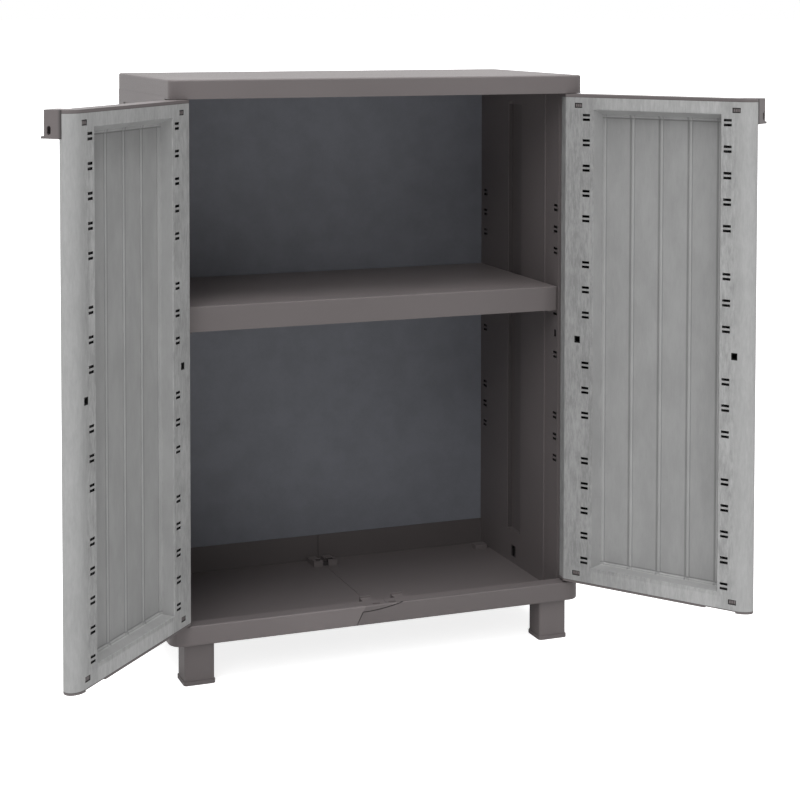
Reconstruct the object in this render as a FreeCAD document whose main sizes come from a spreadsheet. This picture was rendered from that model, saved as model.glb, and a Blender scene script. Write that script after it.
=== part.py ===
import FreeCAD, Part
import math
import os
import re
import Sketcher

# Garden storage cabinet of moulded plastic: two hinged doors, one shelf, a two-piece base on four feet.
# Frame: x to the right seen from the front, y to the back, z up, millimetres.
# x = 0 is the middle of the cabinet, y = 0 half its depth and z = 0 the undersides of the feet.

doc = FreeCAD.newDocument("garden_storage_cabinet")
sheet = doc.addObject("Spreadsheet::Sheet", "dims")

# Driving dimensions: millimetres, and degrees for the angles.
sizes = {
    # cabinet
    "overall_width": 680,
    "overall_depth": 350,
    "overall_height": 914,
    "wall": 3,
    "fit_gap": 0.3,
    "corner_round": 12,
    "edge_round": 2,
    "rib_pitch": 100,
    "rib_wall": 2,
    # lid
    "lid_height": 29,
    "lid_inset": 0.4,
    "lid_bead_height": 3,
    "lid_rib_height": 12,
    "lid_rim_line": 9,
    "lid_rim_width": 1,
    "lid_rim_depth": 0.5,
    # base
    "leg_height": 62.5,
    "base_height": 30,
    "base_rim": 3.2,
    "base_front_round": 20,
    "floor_rise": 5.2,
    "ledge_depth": 24,
    "upstand_height": 18.3,
    "upstand_depth": 8,
    "stop_width": 18,
    "stop_reach": 18,
    "stop_lip": 2.5,
    "stop_left": -18,
    "stop_right": 35,
    "dent_length": 13,
    "dent_width": 5,
    "dent_depth": 2,
    "dent_setback": 7,
    "dent_left": -11,
    "dent_right": 15.5,
    "seam_gap": 0.8,
    "seam_centre": 6,
    "seam_foot": -46,
    "seam_knee": -35,
    "seam_knee_rise": 20.5,
    "seam_head": 32,
    "seam_round": 280,
    # key that joins the base halves
    "key_place": 134,
    "key_span": 31,
    "key_head": 10,
    "key_height": 5,
    "key_seat_wall": 4,
    "key_seat_height": 10,
    "key_seat_end": 21,
    "key_seat_gap": 10,
    # feet
    "foot_width": 46.5,
    "foot_depth": 43,
    "foot_side_inset": 22.3,
    "foot_end_inset": 7.8,
    "foot_flare": 1.3,
    "foot_flare_height": 6,
    "foot_round": 5,
    "front_spigot_width": 30,
    "front_spigot_rise": 20,
    "rear_spigot_width": 15,
    "rear_spigot_depth": 11,
    "rear_spigot_rise": 10,
    # side panels
    "side_wall": 27,
    "tongue_rise": 18,
    "side_recess_depth": 8,
    "side_recess_front": 1,
    "side_recess_rear": 54,
    "side_recess_low": 31.5,
    "side_recess_high": 22,
    "keyhole_drop": 12.5,
    "keyhole_width": 6,
    "keyhole_height": 13,
    "keyhole_round": 5,
    "keyhole_depth": 12,
    "side_rib_place": -92,
    "side_rib_width": 3,
    "side_rib_height": 1.5,
    "side_slot_width": 14.5,
    "side_slot_pitch": 35.2,
    "side_slot_middle": 491.9,
    "side_slot_skip": 3.835,
    "side_hole_width": 8,
    "side_hole_height": 12,
    "vent_front": 85,
    "vent_rear": 46,
    "vent_low": 19.5,
    "vent_high": 17,
    "vent_depth": 1.5,
    "side_slot_front": -131.4,
    "side_slot_rear": 151.3,
    # back sheet
    "sheet_thickness": 2,
    "sheet_front": 169.8,
    "sheet_seat": 5.5,
    "groove_gap": 0.2,
    # shelf
    "shelf_top": 569.7,
    "shelf_skirt": 38.5,
    "shelf_setback": 34,
    "shelf_back_gap": 2.4,
    "shelf_round": 3,
    "shelf_rib_height": 15,
    "shelf_beam_height": 20,
    "shelf_beam_wall": 4,
    "shelf_beam_front": -60,
    "shelf_beam_rear": 70,
    "support_width": 12,
    "support_reach": 16,
    "support_grip": 9,
    "support_height": 7,
    # slots shared by the doors and the sides
    "slot_height": 4,
    "slot_spacing": 7.3,
    # doors
    "hinge_inset": 15.2,
    "hinge_setback": 12.1,
    "hinge_round": 15,
    "jamb_gap": 0.7588,
    "hinge_pin": 4,
    "pin_gap": 0.05,
    "pin_length": 12,
    "collar_round": 7,
    "pin_boss": 4,
    "pin_lead": 1,
    "door_thickness": 30,
    "door_face": 9.5,
    "door_gap_low": 3.6,
    "door_gap_high": 0.7,
    "door_back_gap": 0.4,
    "meeting_gap": 4,
    "hinge_corner": 1.3,
    "hinge_corner_round": 2,
    "top_cap_height": 5,
    "bottom_cap_height": 3.8,
    "cap_step_height": 2.2,
    "cap_step_near": 248,
    "cap_step_far": 299,
    "free_length": 20,
    "free_nose": 11,
    "stile_near": 6,
    "recess_near": 49.5,
    "recess_far": 269,
    "recess_floor_near": 61,
    "recess_floor_far": 259.6,
    "recess_low": 24.4,
    "recess_high": 18.9,
    "recess_floor_low": 29.6,
    "recess_floor_high": 28.3,
    "recess_depth": 19,
    "ridge_width": 6.2,
    "ridge_height": 1.8,
    "plank_groove": 2,
    "door_slot_width": 13,
    "door_slot_pitch": 40.4,
    "door_slot_near": 37.2,
    "door_slot_far": 279.5,
    "door_slot_skip": 4.82,
    "door_slot_margin": 25,
    "door_slot_lift": 1.7,
    "latch_near": 22.9,
    "latch_far": 293.6,
    "latch_width": 13.5,
    "latch_height": 8,
    "latch_low": 12.4,
    "latch_high": 12.8,
    "latch_gap": 1,
    "mid_hole": 8,
    "right_open": 125.1,
    "left_open": 132.9,
    # handles
    "handle_gap": 4.4,
    "handle_reach": 17.8,
    "handle_height": 39,
    "handle_length": 36,
    "handle_wrap": 11.5,
    "handle_round": 4.5,
    "handle_flange": 2.6,
    "handle_flange_height": 3.5,
    "padlock_slot_width": 6,
    "padlock_slot_height": 12.2,
    "padlock_slot_drop": 27.6,
    "padlock_slot_reach": 8.1,
}
for row, (word, number) in enumerate(sizes.items(), 1):
    sheet.set(f"A{row}", word)
    sheet.set(f"B{row}", str(number))
    sheet.setAlias(f"B{row}", word)
doc.recompute()

# Places that follow from the driving dimensions.
half_width = "overall_width / 2"
front = "(-overall_depth / 2)"
rear = "overall_depth / 2"
base_bottom = "leg_height"
base_top = "(leg_height + base_height)"
floor_top = "(leg_height + floor_rise)"
floor_under = "(leg_height + floor_rise - wall)"
ledge_rear = f"({front} + ledge_depth)"
lid_bottom = "(overall_height - lid_height)"
lid_half = "(overall_width / 2 - lid_inset)"
lid_rear = "(overall_depth / 2 - lid_inset)"
side_inner = "(overall_width / 2 - side_wall)"
upstand_front = "(overall_depth / 2 - upstand_depth)"
sheet_rear = "(sheet_front + sheet_thickness)"
sheet_half = f"({side_inner} + sheet_seat)"
pivot_x = "(overall_width / 2 - hinge_inset)"
pivot_y = f"({front} + hinge_setback)"
shut_reach = "sqrt(hinge_corner ^ 2 + (door_thickness - door_face) ^ 2)"
swung_reach = "sqrt(hinge_inset ^ 2 + door_face ^ 2)"
jamb_round = f"(max({shut_reach}; {swung_reach}) + jamb_gap)"
jamb_front = f"({pivot_y} + door_thickness - door_face + door_back_gap)"
door_bottom = f"({base_top} + door_gap_low)"
door_top = f"({lid_bottom} - door_gap_high)"
panel_bottom = f"({door_bottom} + bottom_cap_height)"
panel_top = f"({door_top} - top_cap_height)"
door_inside = "(door_thickness - door_face)"
free_end = f"(meeting_gap / 2 - {pivot_x})"
rib_count = 6
rib_run = f"({rib_count - 1} * rib_pitch)"
rib_first = f"(-{rib_run} / 2)"
rib_sides = (f"{rib_first} - rib_wall / 2", f"{rib_first} + rib_wall / 2")
foot_x = "(overall_width / 2 - foot_side_inset - foot_width / 2)"
rear_spigot_y = f"({rear} - foot_end_inset - foot_depth + wall + rear_spigot_depth / 2)"
front_spigot_rear = f"({ledge_rear} - wall)"
front_spigot_front = f"({front} + foot_end_inset + wall)"
support_z = "(side_slot_middle + side_slot_pitch + slot_spacing / 2)"
support_bottom = f"({support_z} - slot_height / 2 + fit_gap)"
support_top = f"({support_bottom} + support_height)"
key_middle = "(seam_centre - seam_gap / 2)"
beam_places = ("(-overall_depth / 4)", "0", "(overall_depth / 4)")
groove_half = f"({sheet_half} + fit_gap)"
groove_outline = (f"-{groove_half}", "sheet_front - groove_gap", groove_half, f"{sheet_rear} + groove_gap")


# Sizes by name

def spelled(formula):
    """The formula with each word of the sheet written as the sheet's own cell."""
    def cell(found):
        return "dims." + found[0] if found[0] in sizes else found[0]

    return re.sub(r"[a-z][a-z_]*", cell, str(formula))


def size(formula):
    """The number that a formula gives with the present sizes."""
    return float(sheet.evalExpression(spelled(formula)))


def bind(thing, formulas):
    """Tie properties of an object to formulas in the sheet's words."""
    for path, formula in formulas.items():
        thing.setExpression(path, spelled(formula))
    return thing


# Sketches and the prisms made from them

def new_body(label):
    body = doc.addObject("PartDesign::Body", label)
    body.Label = label
    return body


def rectangle(x0, y0, x1, y1):
    return [(x0, y0), (x1, y0), (x1, y1), (x0, y1)]


def soft_rectangle(x0, y0, x1, y1, near, far=None):
    """A rectangle with its front corners rounded, and its rear ones too where a second radius is given."""
    corners = [(f"{x0} + {near}", y0), (f"{x1} - {near}", y0, near), (x1, f"{y0} + {near}")]
    if far is None:
        corners += [(x1, y1), (x0, y1)]
    else:
        corners += [(x1, f"{y1} - {far}", far), (f"{x1} - {far}", y1)]
        corners += [(f"{x0} + {far}", y1, far), (x0, f"{y1} - {far}")]
    return corners + [(x0, f"{y0} + {near}", near)]


def arc_centre(start, end, radius):
    """The centre of the arc from start to end: on the left for a positive radius, else on the right."""
    chord = end - start
    left = FreeCAD.Vector(-chord.y, chord.x, 0).normalize()
    height = math.sqrt(radius ** 2 - (chord.Length / 2) ** 2)
    return start + chord * 0.5 + left * math.copysign(height, radius)


def add_outline(sketch, corners):
    """A closed outline: (x, y) starts a straight edge, (x, y, radius) an arc to the next corner."""
    first = sketch.GeometryCount
    points = [FreeCAD.Vector(size(corner[0]), size(corner[1]), 0) for corner in corners]
    count = len(corners)
    ends = []
    for k, corner in enumerate(corners):
        start = points[k]
        end = points[(k + 1) % count]
        if len(corner) == 2:
            sketch.addGeometry(Part.LineSegment(start, end))
            ends.append((1, 2))
            continue
        radius = size(corner[2])
        centre = arc_centre(start, end, radius)
        angles = [math.atan2(p.y - centre.y, p.x - centre.x) for p in (start, end)]
        upright = Part.Circle(centre, FreeCAD.Vector(0, 0, 1), abs(radius))
        if radius > 0:
            sketch.addGeometry(Part.ArcOfCircle(upright, angles[0], angles[1]))
            ends.append((1, 2))
        else:
            sketch.addGeometry(Part.ArcOfCircle(upright, angles[1], angles[0]))
            ends.append((2, 1))
    for k, corner in enumerate(corners):
        edge = first + k
        after = (k + 1) % count
        meet = Sketcher.Constraint("Coincident", edge, ends[k][1], first + after, ends[after][0])
        sketch.addConstraint(meet)
        for kind, number, formula in zip(("DistanceX", "DistanceY"), points[k], corner):
            place = sketch.addConstraint(Sketcher.Constraint(kind, -1, 1, edge, ends[k][0], number))
            sketch.setExpression(f"Constraints[{place}]", spelled(formula))
        if len(corner) == 3:
            radius = size(corner[2])
            place = sketch.addConstraint(Sketcher.Constraint("Radius", edge, abs(radius)))
            sketch.setExpression(f"Constraints[{place}]", f"abs({spelled(corner[2])})")


def add_circle(sketch, x, y, radius):
    centre = FreeCAD.Vector(size(x), size(y), 0)
    edge = sketch.addGeometry(Part.Circle(centre, FreeCAD.Vector(0, 0, 1), size(radius)))
    for kind, formula in (("DistanceX", x), ("DistanceY", y)):
        place = sketch.addConstraint(Sketcher.Constraint(kind, -1, 1, edge, 3, size(formula)))
        sketch.setExpression(f"Constraints[{place}]", spelled(formula))
    place = sketch.addConstraint(Sketcher.Constraint("Radius", edge, size(radius)))
    sketch.setExpression(f"Constraints[{place}]", spelled(radius))


# The way each origin plane faces along its own axis.
facing = {"XY_Plane": 1, "XZ_Plane": -1, "YZ_Plane": 1}


def prism(body, kind, name, plane, low, high, outlines=(), circles=()):
    """A pad or pocket of outlines and circles on an origin plane, from low to high along its axis."""
    level = low if facing[plane] > 0 else f"-({high})"
    before = body.Shape.Volume if not body.Shape.isNull() else 0
    sketch = body.newObject("Sketcher::SketchObject", name + "_sketch")
    sketch.AttachmentSupport = [(next(f for f in body.Origin.OriginFeatures if f.Role == plane), "")]
    sketch.MapMode = "FlatFace"
    bind(sketch, {"AttachmentOffset.Base.z": level})
    for corners in outlines:
        add_outline(sketch, corners)
    for x, y, radius in circles:
        add_circle(sketch, x, y, radius)
    feature = body.newObject("PartDesign::" + kind, name)
    feature.Profile = sketch
    bind(feature, {"Length": f"({high}) - ({low})"})
    feature.Reversed = kind == "Pocket"
    doc.recompute()
    change = body.Shape.Volume - before
    if (change <= 0) if kind == "Pad" else (change >= 0):
        raise ValueError(f"{name} changed nothing")
    return feature


def pad(body, name, plane, low, high, outlines=(), circles=()):
    return prism(body, "Pad", name, plane, low, high, outlines, circles)


def pocket(body, name, plane, low, high, outlines=(), circles=()):
    return prism(body, "Pocket", name, plane, low, high, outlines, circles)


def rounded(body, name, radius, chosen, kind="Fillet"):
    """A fillet or chamfer on the edges of the body that the chooser accepts."""
    base = body.Tip
    names = [f"Edge{k}" for k, edge in enumerate(base.Shape.Edges, 1) if chosen(edge)]
    feature = body.newObject("PartDesign::" + kind, name)
    feature.Base = (base, names)
    bind(feature, {"Radius" if kind == "Fillet" else "Size": radius})
    doc.recompute()
    return feature


def upright_edges(places, low=None, high=None):
    """A chooser of straight upright edges that stand at one of the (x, y) places."""
    spots = [(size(x), size(y)) for x, y in places]

    def chosen(edge):
        box = edge.BoundBox
        if box.XLength > 0.01 or box.YLength > 0.01 or box.ZLength < 1:
            return False
        if low is not None and box.ZMin < size(low) - 0.01:
            return False
        if high is not None and box.ZMax > size(high) + 0.01:
            return False
        return any(math.hypot(box.XMin - x, box.YMin - y) < 0.05 for x, y in spots)

    return chosen


def level_edges(height):
    """A chooser of the edges that lie wholly at one height."""
    level = size(height)

    def chosen(edge):
        return abs(edge.BoundBox.ZMin - level) < 0.01 and abs(edge.BoundBox.ZMax - level) < 0.01

    return chosen


def row_of(body, name, feature, direction, length, count, backward=False):
    """A straight row of a feature along one axis of its own sketch."""
    pattern = body.newObject("PartDesign::LinearPattern", name)
    pattern.Originals = [feature]
    pattern.Direction = (feature.Profile[0], [direction])
    bind(pattern, {"Length": length})
    pattern.Reversed = backward
    pattern.Occurrences = count
    body.Tip = pattern
    doc.recompute()
    return pattern


def slot_field(body, name, feature, count, pitch, middle, column_gap, backward=False):
    """Slot pairs in a row up from their first place, mirrored about a middle height, in two columns."""
    sketch = feature.Profile[0]
    field = body.newObject("PartDesign::MultiTransform", name)
    field.Originals = [feature]
    steps = []
    if size(count) > 1:
        rows = body.newObject("PartDesign::LinearPattern", name + "_rows")
        rows.Direction = (sketch, ["V_Axis"])
        bind(rows, {"Length": f"({count} - 1) * {pitch}", "Occurrences": count})
        steps.append(rows)
    halves = body.newObject("PartDesign::Mirrored", name + "_halves")
    halves.MirrorPlane = (middle, [""])
    steps.append(halves)
    columns = body.newObject("PartDesign::LinearPattern", name + "_columns")
    columns.Direction = (sketch, ["H_Axis"])
    bind(columns, {"Length": column_gap})
    columns.Reversed = backward
    columns.Occurrences = 2
    steps.append(columns)
    field.Transformations = steps
    body.Tip = field
    doc.recompute()
    return field


def level_plane(body, name, height):
    """A level plane of the body, to mirror features about."""
    plane = body.newObject("PartDesign::Plane", name)
    plane.AttachmentSupport = [(next(f for f in body.Origin.OriginFeatures if f.Role == "XY_Plane"), "")]
    plane.MapMode = "FlatFace"
    bind(plane, {"AttachmentOffset.Base.z": height})
    return plane


def slot_pair(low, high, height):
    """Two flat slots, one over the other, centred on a height."""
    return [
        rectangle(low, f"{height} {sign} slot_spacing / 2 - slot_height / 2",
                  high, f"{height} {sign} slot_spacing / 2 + slot_height / 2")
        for sign in "-+"
    ]


# Plain solids for the pieces that are made by joining and cutting

def block(name, low, high):
    """A box from its low corner to its high corner."""
    box = doc.addObject("Part::Box", name)
    for axis, length, start, end in zip("xyz", ("Length", "Width", "Height"), low, high):
        bind(box, {length: f"({end}) - ({start})", f"Placement.Base.{axis}": start})
    return box


def joined(name, pieces):
    union = doc.addObject("Part::MultiFuse", name)
    union.Shapes = pieces
    return union


def cut(name, base, tool):
    difference = doc.addObject("Part::Cut", name)
    difference.Base = base
    difference.Tool = tool
    return difference


def mirrored(label, source):
    """The left-hand twin of a right-hand piece."""
    twin = doc.addObject("Part::Mirroring", label)
    twin.Label = label
    twin.Source = source
    twin.Normal = FreeCAD.Vector(1, 0, 0)
    twin.Base = FreeCAD.Vector(0, 0, 0)
    return twin


# Lid

def top_panel():
    """An open-bottomed tray with a bead round its rim, ribs inside, and a boss for each door's upper pin."""
    body = new_body("top_panel")
    roof = "overall_height"
    ceiling = "(overall_height - wall)"
    outer = rectangle(f"-{lid_half}", front, lid_half, lid_rear)
    pad(body, "lid_shell", "XY_Plane", lid_bottom, roof, [outer])
    rounded(body, "lid_corners", "corner_round", upright_edges(
        [(x, y) for x in (f"-{lid_half}", lid_half) for y in (front, lid_rear)]
    ))
    rounded(body, "lid_edge", "wall", level_edges(roof))
    bead = rectangle(f"-{half_width}", front, half_width, rear)
    pad(body, "lid_bead", "XY_Plane", lid_bottom, f"{lid_bottom} + lid_bead_height", [bead])
    rounded(body, "bead_corners", "corner_round", upright_edges(
        [(x, y) for x in (f"-{half_width}", half_width) for y in (front, rear)]
    ))
    inner_x = f"({lid_half} - wall)"
    inside = soft_rectangle(f"-{inner_x}", f"{front} + wall", inner_x, upstand_front, "(corner_round - wall)")
    pocket(body, "lid_inside", "XY_Plane", lid_bottom, ceiling, [inside])
    groove = rectangle(*groove_outline)
    pocket(body, "sheet_groove", "XY_Plane", lid_bottom, f"{lid_bottom} + tongue_rise", [groove])
    rim_line = []
    for inset in ("lid_rim_line", "(lid_rim_line + lid_rim_width)"):
        line_x = f"({lid_half} - {inset})"
        rim_line.append(rectangle(f"-{line_x}", f"{front} + {inset}", line_x, f"{lid_rear} - {inset}"))
    pocket(body, "rim_line", "XY_Plane", f"{roof} - lid_rim_depth", roof, rim_line)
    rib_low = f"{ceiling} - lid_rib_height"
    rib = rectangle(rib_sides[0], f"{front} + wall", rib_sides[1], upstand_front)
    cross_rib = pad(body, "lid_rib", "XY_Plane", rib_low, ceiling, [rib])
    row_of(body, "lid_ribs", cross_rib, "H_Axis", rib_run, rib_count)
    for k, place in enumerate(beam_places):
        beam_low, beam_high = f"{place} - rib_wall / 2", f"{place} + rib_wall / 2"
        beam = rectangle(f"-{side_inner} + wall", beam_low, f"{side_inner} - wall", beam_high)
        pad(body, f"lid_beam_{k}", "XY_Plane", rib_low, ceiling, [beam])
    pins = [(side + pivot_x, pivot_y) for side in ("-", "")]
    pad(body, "pin_bosses", "XY_Plane", lid_bottom, ceiling,
        circles=[(x, y, "hinge_pin + pin_boss") for x, y in pins])
    pocket(body, "pin_holes", "XY_Plane", lid_bottom, f"{lid_bottom} + pin_length",
           circles=[(x, y, "hinge_pin + pin_gap") for x, y in pins])
    return body


# Base

def base_tray():
    """The whole base before it is parted: rim, floor, hollow ledge, upstand, ribs, bosses and key seats."""
    body = new_body("base_tray")
    sides = (f"-{half_width}", half_width)
    outer = rectangle(f"-{half_width}", front, half_width, rear)
    pad(body, "tray", "XY_Plane", base_bottom, base_top, [outer])
    rounded(body, "tray_front_corners", "base_front_round", upright_edges([(x, front) for x in sides]))
    rounded(body, "tray_rear_corners", "corner_round", upright_edges([(x, rear) for x in sides]))
    rounded(body, "tray_top_edge", "edge_round", level_edges(base_top))
    rounded(body, "tray_bottom_edge", "edge_round", level_edges(base_bottom))
    inner_x = "(overall_width / 2 - base_rim)"
    inner_front = f"({front} + base_rim)"
    inner_rear = f"({rear} - base_rim)"
    basin = rectangle(f"-{inner_x}", ledge_rear, inner_x, upstand_front)
    pocket(body, "basin", "XY_Plane", floor_top, base_top, [basin])
    wide = rectangle(f"-{side_inner}", upstand_front, side_inner, rear)
    pad(body, "upstand", "XY_Plane", floor_top, f"{base_top} + upstand_height", [wide])
    inner_round = "(base_front_round - base_rim)"
    rear_round = "(corner_round - base_rim)"
    under = soft_rectangle(f"-{inner_x}", inner_front, inner_x, inner_rear, inner_round, rear_round)
    pocket(body, "underside", "XY_Plane", base_bottom, floor_under, [under])
    channel = soft_rectangle(f"-{inner_x}", inner_front, inner_x, f"{ledge_rear} - wall", inner_round)
    pocket(body, "ledge_hollow", "XY_Plane", floor_under, f"{base_top} - wall", [channel])
    pocket(body, "sheet_groove", "XY_Plane", f"{floor_top} + wall", f"{base_top} + upstand_height",
           [rectangle(*groove_outline)])
    web = rectangle(rib_sides[0], inner_front, rib_sides[1], f"{ledge_rear} - wall")
    ledge_web = pad(body, "ledge_web", "XY_Plane", floor_under, f"{base_top} - wall", [web])
    row_of(body, "ledge_webs", ledge_web, "H_Axis", rib_run, rib_count)
    low_rib = rectangle(rib_sides[0], inner_front, rib_sides[1], inner_rear)
    under_rib = pad(body, "under_rib", "XY_Plane", base_bottom, floor_under, [low_rib])
    row_of(body, "under_ribs", under_rib, "H_Axis", rib_run, rib_count)
    for k, place in enumerate(beam_places):
        beam = rectangle(f"-{inner_x}", f"{place} - rib_wall / 2", inner_x, f"{place} + rib_wall / 2")
        pad(body, f"under_beam_{k}", "XY_Plane", base_bottom, floor_under, [beam])
    pins = [(side + pivot_x, pivot_y) for side in ("-", "")]
    pad(body, "pin_bosses", "XY_Plane", f"{base_top} - wall - pin_length", f"{base_top} - wall",
        circles=[(x, y, "hinge_pin + pin_boss") for x, y in pins])
    pocket(body, "pin_holes", "XY_Plane", f"{base_top} - pin_length", base_top,
           circles=[(x, y, "hinge_pin + pin_gap") for x, y in pins])
    add_foot_seats(body)
    add_key_seats(body)
    add_ledge_stops(body)
    return body


def add_foot_seats(body):
    """Sockets in the underside for the spigots of the rear feet."""
    seats = []
    hollows = []
    half = "(rear_spigot_width / 2 + fit_gap)"
    deep = "(rear_spigot_depth / 2 + fit_gap)"
    for side in ("-", ""):
        centre = f"{side}{foot_x}"
        seats.append(rectangle(
            f"{centre} - {half} - wall", f"{rear_spigot_y} - {deep} - wall",
            f"{centre} + {half} + wall", f"{rear_spigot_y} + {deep} + wall"
        ))
        hollows.append(rectangle(
            f"{centre} - {half}", f"{rear_spigot_y} - {deep}",
            f"{centre} + {half}", f"{rear_spigot_y} + {deep}"
        ))
    seat_top = f"{base_bottom} + rear_spigot_rise + fit_gap"
    pad(body, "foot_seats", "XY_Plane", floor_under, f"{seat_top} + wall", seats)
    pocket(body, "foot_seat_hollows", "XY_Plane", base_bottom, seat_top, hollows)


def add_key_seats(body):
    """Seats on the floor, one on each side of the seam, for the two heads of the joint clip."""
    key_low = "(key_place - key_head / 2)"
    key_high = "(key_place + key_head / 2)"
    seat_low = f"{key_low} - key_seat_wall"
    seat_high = f"{key_high} + key_seat_wall"
    seats = []
    hollows = []
    guides = []
    for side in ("-", "+"):
        inner = f"{key_middle} {side} key_seat_gap / 2"
        ends = sorted((inner, f"{key_middle} {side} key_seat_end"), key=size)
        reach = sorted((inner, f"{key_middle} {side} (key_span / 2 + fit_gap)"), key=size)
        seats.append(rectangle(ends[0], seat_low, ends[1], seat_high))
        hollows.append(rectangle(reach[0], key_low, reach[1], key_high))
        guides.append(rectangle(ends[0], seat_high, ends[1], upstand_front))
    seat_top = f"{floor_top} + key_seat_height"
    pad(body, "key_seats", "XY_Plane", floor_top, seat_top, seats)
    pocket(body, "key_hollows", "XY_Plane", floor_top, seat_top, hollows)
    pad(body, "key_guides", "XY_Plane", floor_top, f"{seat_top} - wall", guides)


def add_ledge_stops(body):
    """On the ledge: an oval dent by each door's free end, and behind it a tab with a raised lip."""
    stops = []
    lips = []
    for place in ("stop_left", "stop_right"):
        low, high = f"{place} - stop_width / 2", f"{place} + stop_width / 2"
        stops.append(rectangle(low, ledge_rear, high, f"{ledge_rear} + stop_reach"))
        lips.append(rectangle(low, f"{ledge_rear} + stop_reach - wall", high, f"{ledge_rear} + stop_reach"))
    pad(body, "ledge_stops", "XY_Plane", floor_top, base_top, stops)
    pad(body, "stop_lips", "XY_Plane", base_top, f"{base_top} + stop_lip", lips)
    y = f"({front} + dent_setback)"
    straight = "((dent_length - dent_width) / 2)"
    dents = ("dent_left", "dent_right")
    middles = [
        rectangle(f"{x} - {straight}", f"{y} - dent_width / 2", f"{x} + {straight}", f"{y} + dent_width / 2")
        for x in dents
    ]
    ends = [(f"{x} {sign} {straight}", y, "dent_width / 2") for x in dents for sign in "-+"]
    pocket(body, "ledge_dents", "XY_Plane", f"{base_top} - dent_depth", base_top, middles)
    pocket(body, "dent_ends", "XY_Plane", f"{base_top} - dent_depth", base_top, circles=ends)


def right_of_seam(name, gap):
    """Everything on the right of the seam: the front skin under the curved lap, and all behind it."""
    above = f"{base_top} + upstand_height + 1"
    below = f"{base_bottom} - 1"
    beyond = f"{half_width} + 1"
    skin = new_body(name + "_skin")
    lap = [
        (f"seam_foot - {gap}", below),
        (beyond, below),
        (beyond, above),
        (f"seam_head - {gap}", above),
        (f"seam_head - {gap}", f"{base_top} + {gap}", "-seam_round"),
        (f"seam_knee - {gap}", f"{base_bottom} + seam_knee_rise + {gap}"),
    ]
    pad(skin, name + "_lap", "XZ_Plane", f"{front} - 1", f"{front} + base_rim", [lap])
    behind_low = (f"seam_centre - {gap}", f"{front} + base_rim", below)
    behind = block(name + "_behind", behind_low, (beyond, f"{rear} + 1", above))
    return joined(name, [skin, behind])


def base_halves():
    """The base parted into a left and a right half by a lap seam across the front skin."""
    tray = base_tray()
    right = doc.addObject("Part::Common", "base_right")
    right.Base = tray
    right.Tool = right_of_seam("right_of_seam", "0")
    right.Label = "base_right"
    left = cut("base_left", tray, right_of_seam("right_of_gap", "seam_gap"))
    left.Label = "base_left"
    return [left, right]


# Feet

def foot(label, side, end):
    """A hollow leg with a flared toe and a spigot that plugs up into the base."""
    body = new_body(label)
    x0 = f"{side}{foot_x} - foot_width / 2"
    x1 = f"{side}{foot_x} + foot_width / 2"
    if end == "front":
        y0, y1 = f"{front} + foot_end_inset", f"{front} + foot_end_inset + foot_depth"
    else:
        y0, y1 = f"{rear} - foot_end_inset - foot_depth", f"{rear} - foot_end_inset"
    pad(body, label + "_leg", "XY_Plane", "0", base_bottom, [rectangle(x0, y0, x1, y1)])
    toe_x = (f"{x0} - foot_flare", f"{x1} + foot_flare")
    toe_y = (f"{y0} - foot_flare", f"{y1} + foot_flare")
    toe = rectangle(toe_x[0], toe_y[0], toe_x[1], toe_y[1])
    pad(body, label + "_toe", "XY_Plane", "0", "foot_flare_height", [toe])
    toe_corners = [(x, y) for x in toe_x for y in toe_y]
    leg_corners = [(x, y) for x in (x0, x1) for y in (y0, y1)]
    rounded(body, label + "_corners", "foot_round", upright_edges(toe_corners + leg_corners))
    hollow = rectangle(f"{x0} + wall", f"{y0} + wall", f"{x1} - wall", f"{y1} - wall")
    pocket(body, label + "_hollow", "XY_Plane", "wall", base_bottom, [hollow])
    if end == "front":
        spigot = rectangle(
            f"{side}{foot_x} - front_spigot_width / 2", front_spigot_front,
            f"{side}{foot_x} + front_spigot_width / 2", f"{front_spigot_rear} - fit_gap"
        )
        rise = "front_spigot_rise"
    else:
        spigot = rectangle(
            f"{side}{foot_x} - rear_spigot_width / 2", f"{rear_spigot_y} - rear_spigot_depth / 2",
            f"{side}{foot_x} + rear_spigot_width / 2", f"{rear_spigot_y} + rear_spigot_depth / 2"
        )
        rise = "rear_spigot_rise"
    pad(body, label + "_spigot", "XY_Plane", "wall", f"{base_bottom} + {rise}", [spigot])
    return body


def feet():
    return [
        foot(f"foot_{end}_{word}", side, end)
        for end in ("front", "rear") for word, side in (("left", "-"), ("right", ""))
    ]


# Side panels

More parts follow.
